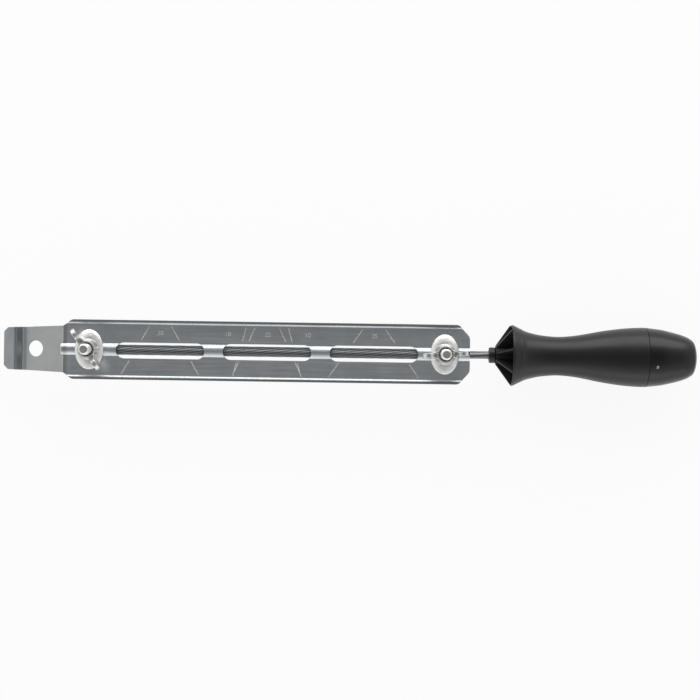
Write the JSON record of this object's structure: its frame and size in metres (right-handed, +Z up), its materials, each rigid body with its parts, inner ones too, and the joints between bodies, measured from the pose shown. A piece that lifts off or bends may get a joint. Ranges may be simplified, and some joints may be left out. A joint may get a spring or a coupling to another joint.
{
  "type": "chainsaw file guide",
  "caption": "Pressed steel guide plate with rails, file windows and a hang tang, clamping a round file by eye bolts and wing nuts, with a ribbed plastic handle on the file's tang.",
  "frame": {"origin": "centre of the tool's bounding box, on the level of the handle rim's lowest point", "axes": "+X along the file's axis from the guide's tang to the handle, +Z up through the wing nuts, +Y across the plate"},
  "size_m": [0.3254, 0.0286, 0.035],
  "materials": {
    "zinc_sheet": "zinc plated pressed sheet, grey and satin",
    "bright_zinc": "bright zinc plated hardware",
    "file_steel": "hardened steel with spiral single cut teeth, darker in the gullets",
    "black_plastic": "moulded black plastic, low satin sheen"
  },
  "bodies": {
    "guide": {"guide_plate": "zinc_sheet", "front_saddle_washer": "bright_zinc", "rear_saddle_washer": "bright_zinc", "front_flat_washer": "bright_zinc", "rear_flat_washer": "bright_zinc"},
    "front_bolt": {"front_eye_bolt": "bright_zinc"},
    "rear_bolt": {"rear_eye_bolt": "bright_zinc"},
    "front_nut": {"front_wing_nut": "bright_zinc"},
    "rear_nut": {"rear_wing_nut": "bright_zinc"},
    "file": {"round_file": "file_steel"},
    "handle": {"handle_grip": "black_plastic", "handle_end_cap": "black_plastic"}
  },
  "joints": [
    {"name": "front_nut_turn", "type": "hinge", "parent": "guide", "child": "front_nut", "pos_m": [-0.12205, 0, 0.0222], "axis": [0, 0, 1], "range_deg": [0, 360]},
    {"name": "rear_nut_turn", "type": "hinge", "parent": "guide", "child": "rear_nut", "pos_m": [0.04395, 0, 0.0222], "axis": [0, 0, 1], "range_deg": [0, 360]},
    {"name": "front_bolt_drop", "type": "slide", "parent": "guide", "child": "front_bolt", "axis": [0, 0, -1], "range_m": [0, 0.0008]},
    {"name": "rear_bolt_drop", "type": "slide", "parent": "guide", "child": "rear_bolt", "axis": [0, 0, -1], "range_m": [0, 0.0008]},
    {"name": "file_slide", "type": "slide", "parent": "guide", "child": "file", "axis": [1, 0, 0], "range_m": [0, 0.195]},
    {"name": "handle_pull", "type": "slide", "parent": "file", "child": "handle", "axis": [1, 0, 0], "range_m": [0, 0.04]}
  ],
  "couplings": [
    {"joint": "front_bolt_drop", "follows": "front_nut_turn", "m_per_rad": 0.000127},
    {"joint": "rear_bolt_drop", "follows": "rear_nut_turn", "m_per_rad": 0.000127}
  ]
}
